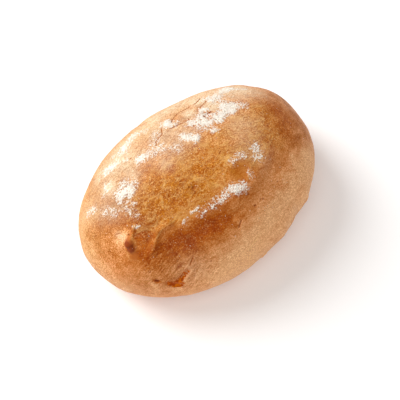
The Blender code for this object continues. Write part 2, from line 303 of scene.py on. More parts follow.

# Places that baked more or less than that, and a few that lay painted light
# or shade into the bake: line, radius, edge, amount. An edge of 2 fades all
# the way, and 4 holds and then drops.
BAKE_ZONES = (
    # The dark hollow under the shoulder, its core and its two faint ends.
    (((-39.7, -15.5, 38.1), (-32.2, -17.5, 40.7), (-16.4, -22.8, 42.6),
      (-7.4, -24.8, 42.8)), 5.4, 2, 0.49),
    (((-31.9, -17.7, 40.7), (-24.2, -20.7, 41.5)), 4.0, 2, 0.08),
    (((-4.3, -24.8, 43.1), (9.9, -25.1, 42.7)), 5.0, 2, 0.10),
    (((-43.8, -13.6, 35.8), (-35.8, -23.4, 33.5)), 5.0, 2, 0.08),
    # The shoulder under the lower flour.
    (((-11.0, -16.2, 46.4), (3.3, -19.3, 46.8)), 3.2, 2, 0.24),
    # Below the nub, a browner spot that is painted shadow of the nub, and the
    # crust between it and the fold.
    (((-42.6, -11.6, 37.8),), 2.2, 2, 0.35),
    (((-36.3, -7.2, 43.1), (-31.1, -7.0, 44.9)), 4.6, 2, 0.50),
    (((-29.6, -2.1, 45.8), (-34.2, -7.1, 43.9)), 3.8, 2, 0.26),
    (((-38.8, 0.6, 42.4),), 4.5, 2, -0.15),
    (((-42.2, -3.9, 40.1),), 2.2, 2, -0.24),
    (((-44.8, -3.5, 38.3), (-42.0, -3.6, 40.5), (-39.7, -3.4, 41.9)),
     1.7, 2, -0.62),
    (((-45.8, 0.2, 37.7), (-43.4, 0.6, 39.6)), 1.0, 2, -0.25),
    (((-41.7, -5.6, 40.4),), 0.9, 2, -0.35),
    # The fold's light ridge, partly paler skin and partly painted highlight on
    # its lit crest.
    (((-33.5, -13.5, 42.4), (-30.5, -12.4, 43.8), (-27.3, -12.1, 44.7)),
     1.8, 2, -0.20),
    # The browner left half of the crown, and its middle.
    (((-39.1, 7.1, 41.4), (-31.3, 2.3, 45.3), (-29.1, -5.8, 45.6)),
     8.5, 2, 0.30),
    (((-22.7, 2.1, 47.8), (-8.5, -4.1, 49.9)), 8.0, 2, 0.24),
    (((-7.5, 1.5, 50.2), (-5.3, -1.4, 50.2)), 3.6, 2, -0.10),
    # The golden patch of the crown.
    (((17.8, 7.8, 47.7), (21.0, 0.3, 47.8)), 6.0, 2, -0.15),
    (((9.7, 2.5, 49.8), (15.5, -3.0, 49.1)), 4.5, 2, -0.09),
    # The blister's amber skin and the browner crust round it.
    (((8.2, -13.3, 48.8), (10.2, -14.1, 48.4)), 3.8, 6, 0.12),
    (((18.6, -7.3, 48.2), (25.9, -7.5, 46.3)), 6.0, 2, 0.18),
    (((20.0, -10.0, 47.8), (17.3, -15.1, 46.8)), 5.0, 2, 0.12),
    # The far end.
    (((42.4, -0.4, 39.0), (38.0, -12.8, 39.5)), 6.0, 2, 0.16),
    (((43.1, 16.0, 35.7), (44.4, 8.0, 37.5)), 6.0, 2, -0.08),
    # The paler rim behind, and round the lifted flake.
    (((-10.6, 28.9, 39.8), (9.0, 33.9, 32.4), (25.3, 30.2, 32.7)),
     7.5, 2, -0.15),
    (((6.8, 23.8, 43.6), (15.6, 24.2, 42.1), (27.8, 24.1, 38.6)),
     6.0, 2, -0.19),
    # The pale flank, which the oven's heat reached least.
    (((36.6, -25.3, 31.2), (22.7, -31.1, 30.8), (-3.7, -35.8, 29.5),
      (-14.7, -35.2, 28.9), (-25.6, -34.0, 19.5)), 10.5, 4, -0.32),
    (((30.8, -31.5, 15.4), (2.7, -37.0, 11.5), (-12.5, -37.4, 16.9)),
     8.0, 4, -0.18),
    (((-2.4, 6.6, 50.0),), 5.0, 2, 0.12),
    (((-5.3, -21.6, 44.8),), 4.0, 2, -0.14),
    (((-8.0, -11.5, 48.4),), 5.0, 2, -0.16),
    # The pale rim, where the roll turns under, and the paler rims at the near
    # side and far end: painted sheen, the paler look of crust seen edge-on.
    (((-39.9, 26.9, 24.4), (-52.5, 9.9, 27.7), (-54.0, -4.7, 23.6),
      (-50.8, -14.3, 22.0)), 5.5, 4, -0.16),
    (((-8.0, -37.6, 14.0), (-20.0, -35.5, 15.0)), 6.0, 2, -0.14),
    (((31.4, -15.8, 41.7), (31.8, 22.3, 38.2)), 5.0, 2, -0.06),
    # Browned lip of the tear, and the light streak beside the fold.
    (((-37.2, -26.2, 27.1), (-32.3, -27.8, 29.7)), 2.5, 2, 0.15),
    (((-30.8, -30.9, 24.6), (-27.1, -32.8, 24.4)), 3.5, 2, 0.14),
    (((-30.9, -29.2, 30.6), (-31.9, -29.2, 28.6), (-32.5, -30.2, 24.9)),
     0.9, 2, -0.30),
    (((-43.2, -22.0, 27.6), (-42.0, -23.4, 26.4)), 1.0, 2, -0.30),
    (((-7.4, -26.1, 42.0), (-7.7, -28.9, 39.7)), 3.5, 2, -0.10),
    # Amber between the blister and the middle.
    (((-7.7, -12.2, 48.3), (-10.5, -4.6, 49.8)), 4.0, 2, 0.10),
    # The crown's far shoulder, browned under the flour.
    (((-31.0, 21.0, 40.0), (-26.0, 21.0, 41.5)), 9.0, 2, 0.34),
    (((-13.0, 18.0, 46.0), (12.0, 21.0, 44.5)), 9.0, 2, 0.24),
    # The crown from behind the nub to its middle.
    (((-37.0, 7.0, 42.0), (-28.0, 2.0, 46.0), (-20.0, 0.0, 48.0)),
     9.5, 2, 0.36),
    (((-11.0, -2.0, 50.0), (1.0, 1.0, 50.0)), 9.0, 2, 0.15),
    # The crown towards the far end.
    (((20.0, -6.5, 48.0), (29.0, -5.0, 45.5)), 9.0, 2, 0.20),
    (((35.5, 12.5, 41.5), (36.0, 0.0, 43.0)), 8.0, 2, 0.18),
    # Round the tear.
    (((-30.0, -32.5, 20.0), (-24.0, -34.0, 17.5)), 6.0, 2, 0.27),
    (((-31.0, -23.0, 36.5), (-27.0, -22.5, 39.0)), 5.5, 2, 0.12),
    # Paler skin below the nub, and down the flank from the far end.
    (((-38.5, -18.0, 37.0), (-41.0, -12.0, 39.0)), 8.0, 2, -0.17),
    (((42.0, -22.0, 29.0), (19.0, -28.0, 37.0), (-3.0, -34.5, 32.5)),
     9.0, 2, -0.19),
    (((43.0, -22.5, 28.5),), 8.0, 2, -0.12),
    (((-5.0, -36.7, 26.0), (-13.5, -36.0, 26.5)), 6.0, 2, -0.24),
    (((9.5, -26.5, 41.0),), 5.5, 2, -0.10),
    # Paler skin just below the fold.
    (((-28.5, -15.0, 43.2),), 3.8, 2, -0.30),
    (((-54.5, 3.0, 25.0),), 5.5, 2, -0.20),
)



# =============================================================== helpers ===
def line_of(points):
    return np.array(points, dtype=float)


def smooth_step(value, low, high):
    t = np.clip((value - low) / (high - low), 0.0, 1.0)
    return t * t * (3.0 - 2.0 * t)


def soft_floor(height, blend):
    eased = (height + blend) ** 2 / (4.0 * blend)
    return np.where(height > blend, height,
                    np.where(height < -blend, 0.0, eased))


def distance_to(points, line):
    """Shortest distance from each point to a chain of straight runs."""
    if len(line) == 1:
        return np.linalg.norm(points - line[0], axis=1)
    best = np.full(len(points), np.inf)
    for start, end in zip(line[:-1], line[1:]):
        run = end - start
        t = np.clip(((points - start) @ run) / (run @ run), 0.0, 1.0)
        gap = np.linalg.norm(points - (start + t[:, None] * run), axis=1)
        best = np.minimum(best, gap)
    return best


def bump(points, line, width):
    """A soft ridge along a line, worked out only where it rises."""
    line = line_of(line)
    reach = 3.2 * width
    near = np.all((points > line.min(axis=0) - reach)
                  & (points < line.max(axis=0) + reach), axis=1)
    rise = np.zeros(len(points))
    if near.any():
        rise[near] = np.exp(-(distance_to(points[near], line) / width) ** 2)
    return rise


class Noise:
    """Seeded gradient noise, about -1 to 1, one cell to a unit."""

    def __init__(self, seed):
        rng = np.random.default_rng(seed)
        self.order = np.tile(rng.permutation(256), 3)
        leaning = rng.normal(size=(256, 3))
        self.leaning = leaning / np.linalg.norm(leaning, axis=1,
                                                keepdims=True)

    def __call__(self, p):
        cell = np.floor(p).astype(np.int64)
        f = p - cell
        cell &= 255
        ease = f * f * f * (f * (f * 6.0 - 15.0) + 10.0)
        total = np.zeros(len(p))
        for dx in (0, 1):
            wx = ease[:, 0] if dx else 1.0 - ease[:, 0]
            ix = self.order[cell[:, 0] + dx]
            for dy in (0, 1):
                wy = ease[:, 1] if dy else 1.0 - ease[:, 1]
                iy = self.order[ix + cell[:, 1] + dy]
                for dz in (0, 1):
                    wz = ease[:, 2] if dz else 1.0 - ease[:, 2]
                    g = self.leaning[self.order[iy + cell[:, 2] + dz]]
                    dot = ((f[:, 0] - dx) * g[:, 0] + (f[:, 1] - dy) * g[:, 1]
                           + (f[:, 2] - dz) * g[:, 2])
                    total += wx * wy * wz * dot
        return total * 1.6


def layered(seed, p, octaves, fall=0.5):
    """A few octaves of noise, about -1 to 1."""
    total, weight, size = np.zeros(len(p)), 0.0, 1.0
    for k in range(octaves):
        total += size * Noise(seed + k)(p * 2.0 ** k)
        weight += size * size
        size *= fall
    return total / math.sqrt(weight)


# ============================================================== the form ===
def loaf_form(directions):
    x, y, s = directions[:, 0], directions[:, 1], directions[:, 2]
    level = np.sqrt(np.maximum(1.0 - s * s, 0.0))
    bearing = np.arctan2(y, x)
    cos_b, sin_b = np.cos(bearing), np.sin(bearing)
    n = OUTLINE_POWER
    reach = ((np.abs(cos_b) / HALF_LENGTH) ** n
             + (np.abs(sin_b) / HALF_WIDTH) ** n) ** (-1.0 / n)
    swell = np.ones_like(reach)
    for count, cos_part, sin_part in OUTLINE_WAVES:
        swell += (cos_part * np.cos(count * bearing)
                  + sin_part * np.sin(count * bearing))
    reach = reach * swell
    upper = s >= 0.0
    spread = np.where(upper, level ** DOME_SPREAD, level ** TUCK_SPREAD)
    rise = HEIGHT - GIRTH_HEIGHT
    height = np.where(upper,
                      GIRTH_HEIGHT + rise * np.abs(s) ** DOME_RISE,
                      GIRTH_HEIGHT - TUCK_DEPTH * np.abs(s) ** TUCK_RISE)
    height = soft_floor(height, BASE_BLEND)
    return np.stack([reach * spread * cos_b, reach * spread * sin_b, height],
                    axis=1)


def outward(points):
    lift = points[:, 2] - GIRTH_HEIGHT
    depth = np.where(lift >= 0.0, HEIGHT - GIRTH_HEIGHT, TUCK_DEPTH)
    normal = np.stack([points[:, 0] / HALF_LENGTH ** 2,
                       points[:, 1] / HALF_WIDTH ** 2,
                       lift / depth ** 2], axis=1)
    return normal / np.linalg.norm(normal, axis=1, keepdims=True)


def relief(points):
    """The CAD part's own relief, in millimetres."""
    rise = np.zeros(len(points))
    for length, heading, climb, height in LUMPS:
        h, c = math.radians(heading), math.radians(climb)
        wave = np.array([math.cos(h) * math.cos(c),
                         math.sin(h) * math.cos(c),
                         math.sin(c)]) * (2.0 * math.pi / length)
        rise += height * np.sin(points @ wave + 0.01 * heading)
    bearing = np.degrees(np.arctan2(points[:, 1], points[:, 0]))
    level = np.exp(-((points[:, 2] - GIRTH_MARK_HEIGHT)
                     / GIRTH_MARK_REACH) ** 2)
    for mark, spread, height in GIRTH_MARKS:
        turn = (bearing - mark + 180.0) % 360.0 - 180.0
        rise += height * level * np.exp(-(turn / spread) ** 2)
    rise += 0.45 * bump(points, SHOULDER_LINE, 2.4)
    rise -= 0.50 * bump(points, HOLLOW_LINE, 4.2)
    rise += 0.75 * bump(points, FOLD_LINE, 1.5)
    to_nub = distance_to(points, line_of(NUB_LINE))
    rise += 1.9 * np.clip(1.0 - to_nub / 2.6, 0.0, 1.0) ** 1.3
    rise += 0.6 * bump(points, NUB_CREASE, 1.2)
    rise -= 1.3 * bump(points, TEAR_LINE, 0.95)
    rise -= 0.9 * bump(points, TEAR_POCKET, 1.1)
    rise -= 0.8 * bump(points, PUNCTURE, 0.9)
    rise -= 0.45 * bump(points, FLAKE_UPPER, 0.8)
    rise -= 0.45 * bump(points, FLAKE_LOWER, 0.8)
    to_blister = distance_to(points, line_of(BLISTER_LINE)) / BLISTER_RADIUS
    rise -= 0.30 * np.exp(-to_blister ** 4)
    rise += 0.22 * np.exp(-((to_blister - 1.0) / 0.30) ** 2)
    return rise * smooth_step(points[:, 2], 1.5, 8.0)


def finer_relief(points):
    """What the pinched nub and the tear have beyond the CAD's relief."""
    gap = distance_to(points, line_of((NUB_KNOB,))) / 1.9
    rise = 1.25 * np.clip(1.0 - gap ** 2, 0.0, 1.0) ** 0.6
    rise += 0.55 * bump(points, NUB_CREST, 0.6)
    rise += 0.30 * bump(points, FOLD_LINE, 0.7)
    rise -= 0.55 * bump(points, TEAR_LINE, 0.6)
    rise += 0.35 * bump(points, TEAR_LIP, 0.6)
    rise += 0.30 * bump(points, PUNCTURE_LIP, 0.5)
    rise += 0.45 * bump(points, RIM_STEP, 0.9)
    rise += 0.40 * bump(points, RIM_CORNER, 1.1)
    rise += 0.28 * bump(points, FLAKE_UPPER, 0.8)
    rise += 0.20 * bump(points, FLAKE_LOWER, 0.8)
    bowl = distance_to(points, line_of(BLISTER_LINE)) / BLISTER_RADIUS
    rise += 0.20 * np.exp(-bowl ** 4)
    return rise


# ============================================================== the grid ===
def sphere_grid(steps):
    """Unit directions and quads of a cube blown up into a sphere."""
    a, b = np.meshgrid(np.arange(steps + 1), np.arange(steps + 1),
                       indexing="ij")
    sheets = []
    for axis in range(3):
        for side in (0, steps):
            c = np.full_like(a, side)
            order = [a, b]
            order.insert(axis, c)
            lattice = np.stack(order, axis=-1)
            if (side == 0) != (axis == 1):
                lattice = lattice[::-1]
            sheets.append(lattice)
    lattice = np.array(sheets)
    side = steps + 1
    key = (lattice[..., 0] * side + lattice[..., 1]) * side + lattice[..., 2]
    unique, inverse = np.unique(key.ravel(), return_inverse=True)
    index = inverse.reshape(key.shape)
    quads = np.stack([index[:, :-1, :-1], index[:, 1:, :-1],
                      index[:, 1:, 1:], index[:, :-1, 1:]],
                     axis=-1).reshape(-1, 4)
    corner = np.stack([unique // (side * side), unique // side % side,
                       unique % side], axis=1) / steps * 2.0 - 1.0
    corner = np.tan(corner * math.pi / 4.0)
    return corner / np.linalg.norm(corner, axis=1, keepdims=True), quads


def gather_to_crown(directions):
    """Slides the grid up, so that the top has the finer mesh."""
    s = np.clip(directions[:, 2], -1.0, 1.0)
    angle = np.arccos(s)
    moved = angle - CROWN_GATHER * np.sin(angle)
    flat = np.maximum(np.sin(angle), 1e-9)
    return np.stack([directions[:, 0] / flat * np.sin(moved),
                     directions[:, 1] / flat * np.sin(moved),
                     np.cos(moved)], axis=1)


def base_points(directions):
    points = loaf_form(directions)
    points = points + outward(points) * relief(points)[:, None]
    points[:, 2] = np.maximum(points[:, 2], 0.0)
    return points


def normals_of(points, tris):
    a, b, c = (points[tris[:, k]] for k in range(3))
    face = np.cross(b - a, c - a)
    total = np.zeros_like(points)
    for k in range(3):
        for axis in range(3):
            total[:, axis] += np.bincount(tris[:, k], face[:, axis],
                                          len(points))
    return total / np.maximum(np.linalg.norm(total, axis=1, keepdims=True),
                              1e-12)


class Placer:
    """Lifts plan points onto the crust's upper surface."""

    def __init__(self, points, normals):
        upper = normals[:, 2] > 0.05
        self.points = points[upper]

    def __call__(self, plan):
        lifted = []
        for x, y in plan:
            gap = ((self.points[:, 0] - x) ** 2
                   + (self.points[:, 1] - y) ** 2)
            lifted.append(self.points[np.argmin(gap)])
        return np.array(lifted)


def fine_lines(place):
    lines = [place(plan) for plan, _, _ in CRACKS]
    lines += [place((plan,)) for plan, _, _ in PORES]
    lines += [line_of(x) for x in (NUB_LINE, NUB_CREST, TEAR_LINE,
                                   TEAR_POCKET, TEAR_LIP, PUNCTURE, RIM_STEP)]
    return lines


def crust_grid():
    """Directions and triangles, split where the fine details lie."""
    directions, quads = sphere_grid(GRID_STEPS)
    directions = gather_to_crown(directions)
    tris = np.concatenate([quads[:, [0, 1, 2]], quads[:, [0, 2, 3]]])
    points = base_points(directions)
    place = Placer(points, normals_of(points, tris))
    fine = fine_lines(place)
    creases = [place(plan) for plan, _ in RIDGES + FURROWS]

    bm = bmesh.new()
    verts = [bm.verts.new(d) for d in directions]
    for q in quads:
        bm.faces.new([verts[i] for i in q])
    whole = 4.0 * math.pi / len(quads) * 0.5
    for reach, lines in ((SPLIT_REACH, fine), (CREASE_REACH, creases),
                         (SPLIT_REACH * 0.5, fine)):
        bm.verts.index_update()
        bm.faces.ensure_lookup_table()
        spots = np.array([v.co[:] for v in bm.verts])
        spots /= np.linalg.norm(spots, axis=1, keepdims=True)
        spots = base_points(spots)
        middles = np.array([spots[[v.index for v in f.verts]].mean(axis=0)
                            for f in bm.faces])
        near = np.zeros(len(middles), dtype=bool)
        for line in lines:
            close = np.all((middles > line.min(axis=0) - reach)
                           & (middles < line.max(axis=0) + reach), axis=1)
            close[close] = distance_to(middles[close], line) < reach
            near |= close
        if lines is creases:
            near &= np.array([f.calc_area() for f in bm.faces]) > whole / 3.0
        edges = {e for f, chosen in zip(bm.faces, near) if chosen
                 for e in f.edges}
        bm.edges.index_update()
        bmesh.ops.subdivide_edges(bm, edges=sorted(edges,
                                                   key=lambda e: e.index),
                                  cuts=1, use_grid_fill=True)
    bmesh.ops.triangulate(bm, faces=bm.faces[:])
    bm.verts.index_update()
    directions = np.array([v.co[:] for v in bm.verts])
    directions /= np.linalg.norm(directions, axis=1, keepdims=True)
    tris = np.array([[v.index for v in f.verts] for f in bm.faces])
    bm.free()
    return directions, tris


# ================================================================ fields ===
def veil_field(p, place):
    """The thin even veil of flour, 0 to 1."""
    total = np.zeros(len(p))
    for plan, width, strength in VEIL:
        gap = distance_to(p, place(plan)) / (width * 0.62)
        total += strength * np.exp(-gap ** 2 * 0.9)
    return np.clip(total, 0.0, 0.8)


def flour_field(p, place):
    """The share of the crust that dabs of flour cover, 0 to about 1."""
    ragged = np.stack([layered(210 + 10 * k, p / 2.2, 3) for k in range(3)],
                      axis=1)
    total = np.zeros(len(p))
    for plan, width, share in FLOUR:
        q = p + ragged * min(0.9, width * 0.22)
        gap = distance_to(q, place(plan)) / (width * 0.62)
        total += share * np.exp(-gap ** 2 * 0.9)
    return np.minimum(total, 1.0)


def crack_field(p, place):
    ragged = np.stack([layered(310 + 10 * k, p / 1.1, 2) for k in range(3)],
                      axis=1) * 0.16
    q = p + ragged
    total = np.zeros(len(p))
    for plan, width, strength in CRACKS:
        gap = distance_to(q, place(plan)) / (width * 0.5)
        total = np.maximum(total, strength * np.exp(-gap ** 2))
    return total


def crease_field(p, place, rows):
    ragged = np.stack([Noise(330 + k)(p / 0.9) for k in range(3)],
                      axis=1) * 0.12
    q = p + ragged
    total = np.zeros(len(p))
    for plan, strength in rows:
        total = np.maximum(total, strength * bump(q, place(plan),
                                                  CREASE_HALF_WIDTH))
    return total * np.clip(0.75 + 1.0 * layered(340, p / 1.3, 2), 0.1, 1.3)


def pore_field(p, place):
    total = np.zeros(len(p))
    for plan, size, strength in PORES:
        gap = distance_to(p, place((plan,))) / (size * 0.5)
        total = np.maximum(total, strength * np.exp(-gap ** 2))
    return total


def ring_field(p, place):
    total = np.zeros(len(p))
    for plan, size, strength in RINGS:
        gap = distance_to(p, place((plan,))) / (size * 0.5)
        total = np.maximum(total, strength
                           * np.exp(-((gap - 1.0) / 0.22) ** 2))
    return total


def veil_and_lit_tint_field(p, n):
    """The side away from the dark hollow: a thin veil of flour, and a straw
    tint that is painted light, the yellower look of brightly lit crust.
    """
    across = p[:, 1] * 0.95 - p[:, 0] * 0.31
    veil = smooth_step(across, 5.0, 30.0) * smooth_step(p[:, 2], 8.0, 24.0)
    return veil * np.clip(0.8 + 0.45 * layered(410, p / 5.0, 3), 0.1, 1.4)


def bake_field(p, n):
    uneven = 3.0 * Noise(420)(p / 14.0)
    up = smooth_step(p[:, 2] + uneven, *SIDE_HEIGHTS)
    bake = SIDE_BAKE + (CROWN_BAKE - SIDE_BAKE) * up
    ragged = np.stack([layered(430 + 10 * k, p / 5.0, 3) for k in range(3)],
                      axis=1)
    for line, radius, edge, amount in BAKE_ZONES:
        gap = distance_to(p + ragged * min(1.6, radius * 0.3), line_of(line))
        bake = bake + amount * np.exp(-(gap / radius) ** edge)
    bake += 0.09 * layered(450, p / 9.0, 2) + 0.07 * layered(460, p / 3.6, 2)
    return bake + BASE_BAKE * smooth_step(-p[:, 2], -3.0, 0.0)


def wrinkle_field(p, n):
    """Fine lighter creases of the smooth golden skin, 0 to 1."""
    stretch = np.array([1.0 / 7.5, 1.0 / 3.6, 1.0 / 3.6])
    bend = np.stack([Noise(470 + k)(p / 6.0) for k in range(3)], axis=1) * 1.6
    q = (p + bend) * stretch
    lines = np.exp(-(Noise(475)(q) / 0.10) ** 2)
    q = (p + bend * 0.7) * stretch * 1.9
    finer = np.exp(-(Noise(476)(q) / 0.13) ** 2)
    where = (smooth_step(n[:, 2], 0.80, 0.95)
             * smooth_step(p[:, 1], -19.0, -13.0)
             * smooth_step(-p[:, 1], -14.0, -6.0))
    return where * np.clip(0.8 * lines + 0.6 * finer, 0.0, 1.0) * np.clip(
        0.65 + 0.8 * Noise(477)(p / 5.0), 0.0, 1.0)


def gold_field(p, n):
    return (smooth_step(n[:, 2], 0.80, 0.96)
            * (0.35 + 0.65 * smooth_step(p[:, 0], -37.0, -28.0))
            * smooth_step(p[:, 1] + 0.5 * np.abs(p[:, 0] - 4.0) * 0.2,
                          -20.0, -12.0)
            * smooth_step(-p[:, 1], -13.0, -3.0)
            * np.clip(0.8 + 0.35 * layered(480, p / 5.0, 2), 0.0, 1.2))


def untorn(p, n):
    """Where the skin would lie had it not torn."""
    fill = (1.3 * bump(p, TEAR_LINE, 1.3) + 0.9 * bump(p, TEAR_POCKET, 1.3)
            + 0.8 * bump(p, PUNCTURE, 1.2))
    return p + n * fill[:, None]


def torn_field(p):
    """Orange crumb laid bare in the tear, and round the puncture."""
    ragged = np.stack([layered(490 + 10 * k, p / 0.9, 3) for k in range(3)],
                      axis=1) * 0.75
    q = p + ragged
    pocket = np.zeros(len(p))
    for line, radius in TORN:
        gap = distance_to(q, line_of(line)) / radius
        pocket = np.maximum(pocket, np.exp(-gap ** 4))
    round_hole = distance_to(p + ragged * 0.5, line_of(PUNCTURE))
    return np.maximum(pocket, 0.75 * np.exp(-(round_hole / 1.0) ** 4))


def scorch_and_shade_field(p):
    """The nub's dark tip, with a paler cap that is partly painted highlight
    and a tail that is painted shadow; the burnt edge of the tear; and the
    puncture's dark centre, painted shade in the hole.
    """
    ragged = np.stack([layered(520 + 10 * k, p / 1.3, 2) for k in range(3)],
                      axis=1) * 0.35
    q = p + ragged
    nub = np.exp(-(distance_to(q, line_of(NUB_DARK)) / 2.2) ** 3)
    # The paler cap, partly a painted highlight on the nub's lit top.
    cap = 0.46 * np.exp(-(distance_to(q, line_of(NUB_CAP)) / 1.3) ** 4)
    # The tail below the nub is painted shadow.
    nub_shadow = 0.42 * np.exp(-(distance_to(q, line_of(NUB_SHADOW)) / 2.0) ** 3)
    nub = np.maximum(nub, cap)
    groove = distance_to(p, line_of(TEAR_LINE))
    upper = smooth_step(p[:, 2], 27.6, 29.6)
    groove = 0.07 * upper * np.exp(-(groove / 0.45) ** 2)
    # The puncture's dark centre is painted shade in the hole.
    hole = 0.9 * np.exp(-(distance_to(p, line_of(PUNCTURE)) / 0.6) ** 2)
    return np.maximum(np.maximum(nub, nub_shadow), np.maximum(groove, hole))


def lively_field(p, n):
    """How strong the skin's fine texture is."""
    crown = (smooth_step(p[:, 1], -15.0, -5.0)
             * smooth_step(-p[:, 0], -46.0, -30.0))
    end = smooth_step(-p[:, 0], 33.0, 42.0) * smooth_step(p[:, 1], -22, -12)
    calm = 0.62 + 0.38 * smooth_step(p[:, 2], 6.0, 24.0)
    right = smooth_step(p[:, 0], 4.0, 24.0)
    return calm * (0.75 + 0.40 * crown + 0.03 * right - 0.20 * end)


def streak_field(p, n):
    """Where the skin of the lower end is drawn into fine streaks."""
    across = distance_to(p, line_of(((-38.0, -20.0, 34.0),
                                     (-24.0, -30.0, 30.0))))
    rim = smooth_step(-p[:, 2], -34.0, -22.0) * smooth_step(-p[:, 0], -6, 14)
    return np.clip(np.exp(-(across / 9.0) ** 4) + 0.45 * rim, 0.0, 1.0)


def smooth_field(p):
    """Skin stretched smooth over the blister."""
    ragged = np.stack([layered(550 + 10 * k, p / 2.2, 2) for k in range(3)],
                      axis=1) * 0.5
    gap = distance_to(p + ragged, line_of(BLISTER_LINE))
    return np.exp(-(gap / BLISTER_RADIUS) ** 6)


def build_crust():
    directions, tris = crust_grid()
    base = base_points(directions)
    low, high = base.min(axis=0), base.max(axis=0)
    middle = (low + high) / 2.0
    shift = np.array([-middle[0], -middle[1], -low[2]])
    normals = normals_of(base, tris)
    if (normals * outward(base)).sum() < 0:
        tris = tris[:, ::-1]
        normals = -normals
    place = Placer(base, normals)

    flour = flour_field(base, place)
    veil = veil_field(base, place)
    ridge = crease_field(base, place, RIDGES)
    furrow = crease_field(base, place, FURROWS)
    veil_and_lit_tint = veil_and_lit_tint_field(base, normals)
    crack = crack_field(base, place)
    pore = pore_field(base, place)
    ring = ring_field(base, place)
    bake = bake_field(base, normals)
    wrinkle = wrinkle_field(base, normals)
    gold = gold_field(base, normals)
    whole = untorn(base, normals)
    torn = torn_field(whole)
    scorch_and_shade = scorch_and_shade_field(whole)
    smooth = smooth_field(base)
    lively = lively_field(base, normals)
    streak = streak_field(base, normals)

    off_base = smooth_step(base[:, 2], 0.8, 6.0)
    grain = Noise(1)(base / 1.1)
    soft = layered(2, base / 5.0, 2)
    rise = 0.05 * grain + 0.10 * soft + 0.10 * wrinkle + finer_relief(base)
    rise = rise + RIDGE_HEIGHT * ridge - FURROW_DEPTH * furrow
    rise = rise - CRACK_DEPTH * crack - PORE_DEPTH * pore + RING_RISE * ring
    rise = rise + FLOUR_THICKNESS * smooth_step(flour, 0.25, 0.8) * (
        1.0 + 0.6 * Noise(5)(base / 0.9))
    points = base + normals * (rise * off_base)[:, None]
    points[:, 2] = np.maximum(points[:, 2], 0.0)

    mesh = bpy.data.meshes.new("crust")
    mesh.from_pydata(((points + shift) * MM).tolist(), [], tris.tolist())
    mesh.shade_smooth()
    dent = np.clip(crack + pore, 0.0, 1.0)
    for name, values in (("bake", bake), ("flour", flour), ("veil_and_lit_tint", veil_and_lit_tint),
                         ("veil", veil), ("ridge", ridge),
                         ("furrow", furrow),
                         ("dent", dent), ("wrinkle", wrinkle),
                         ("gold", gold), ("torn", torn), ("ring", ring),
                         ("scorch_and_shade", scorch_and_shade), ("smooth", smooth),
                         ("lively", lively), ("streak", streak)):
        data = mesh.attributes.new(name, "FLOAT", "POINT")
        data.data.foreach_set("value", values.astype(np.float32))
    piece = bpy.data.objects.new("crust", mesh)
    bpy.context.scene.collection.objects.link(piece)
    print("crust: %d points, %d triangles" % (len(points), len(tris)))
    return piece, shift, (points + shift, tris, flour)


def round_speck():
    """The corners and faces of a small twenty-sided lump."""
    g = (1.0 + math.sqrt(5.0)) / 2.0
    corners = np.array([(a, b * g, 0) for a in (-1, 1) for b in (-1, 1)]
                       + [(0, a, b * g) for a in (-1, 1) for b in (-1, 1)]
                       + [(b * g, 0, a) for a in (-1, 1) for b in (-1, 1)])
    corners = corners / np.linalg.norm(corners[0])
    gap = np.linalg.norm(corners[:, None] - corners[None], axis=2)
    near = (gap > 0.1) & (gap < 1.2)
    faces = [(i, j, k) for i in range(12) for j in range(i + 1, 12)
             for k in range(j + 1, 12)
             if near[i, j] and near[j, k] and near[i, k]]
    outwards = []
    for i, j, k in faces:
        side = np.cross(corners[j] - corners[i], corners[k] - corners[i])
        outwards.append((i, j, k) if side @ corners[i] > 0 else (i, k, j))
    return corners, np.array(outwards)


def build_flour(points, tris, flour):
    """Loose grains and small clumps of flour lying on the crust."""
    rng = np.random.default_rng(77)
    a, b, c = (points[tris[:, k]] for k in range(3))
    cross = np.cross(b - a, c - a)
    area = np.linalg.norm(cross, axis=1)
    up = cross / np.maximum(area, 1e-9)[:, None]
    share = flour[tris].mean(axis=1)
    in_dabs = area * smooth_step(share, 0.10, 0.65)
    over_top = area * smooth_step(up[:, 2], 0.45, 0.85)
    picked = np.concatenate([
        rng.choice(len(tris), GRAIN_COUNT, p=in_dabs / in_dabs.sum()),
        rng.choice(len(tris), DUST_COUNT, p=over_top / over_top.sum())])
    mix = rng.dirichlet((1.0, 1.0, 1.0), len(picked))
    spots = (points[tris[picked]] * mix[:, :, None]).sum(axis=1)
    small, large = GRAIN_SIZES
    sizes = small + (large - small) * rng.random(len(picked)) ** 2.5
    sizes[GRAIN_COUNT:] = small + (large - small) * 0.25 * rng.random(
        DUST_COUNT)

    # Each grain lies flat on the skin, turned and worn its own way.
    lift = up[picked]
    side = np.cross(lift, rng.normal(size=lift.shape))
    side /= np.linalg.norm(side, axis=1, keepdims=True)
    other = np.cross(lift, side)
    corners, faces = round_speck()
    worn = rng.uniform(0.70, 1.15, (len(picked), len(corners), 1))
    lumps = corners[None] * worn
    wide = sizes * rng.uniform(0.75, 1.25, len(picked))
    long = sizes * rng.uniform(0.90, 1.50, len(picked))
    thick = sizes * rng.uniform(0.45, 0.75, len(picked))
    verts = (spots[:, None] + lift[:, None] * (thick * 0.35)[:, None, None]
             + lumps[:, :, :1] * (side * long[:, None])[:, None]
             + lumps[:, :, 1:2] * (other * wide[:, None])[:, None]
             + lumps[:, :, 2:] * (lift * thick[:, None])[:, None])
    start = (np.arange(len(picked)) * len(corners))[:, None, None]
    mesh = bpy.data.meshes.new("flour")
    mesh.from_pydata((verts.reshape(-1, 3) * MM).tolist(), [],
                     (faces[None] + start).reshape(-1, 3).tolist())
    piece = bpy.data.objects.new("flour", mesh)
    bpy.context.scene.collection.objects.link(piece)
    return piece


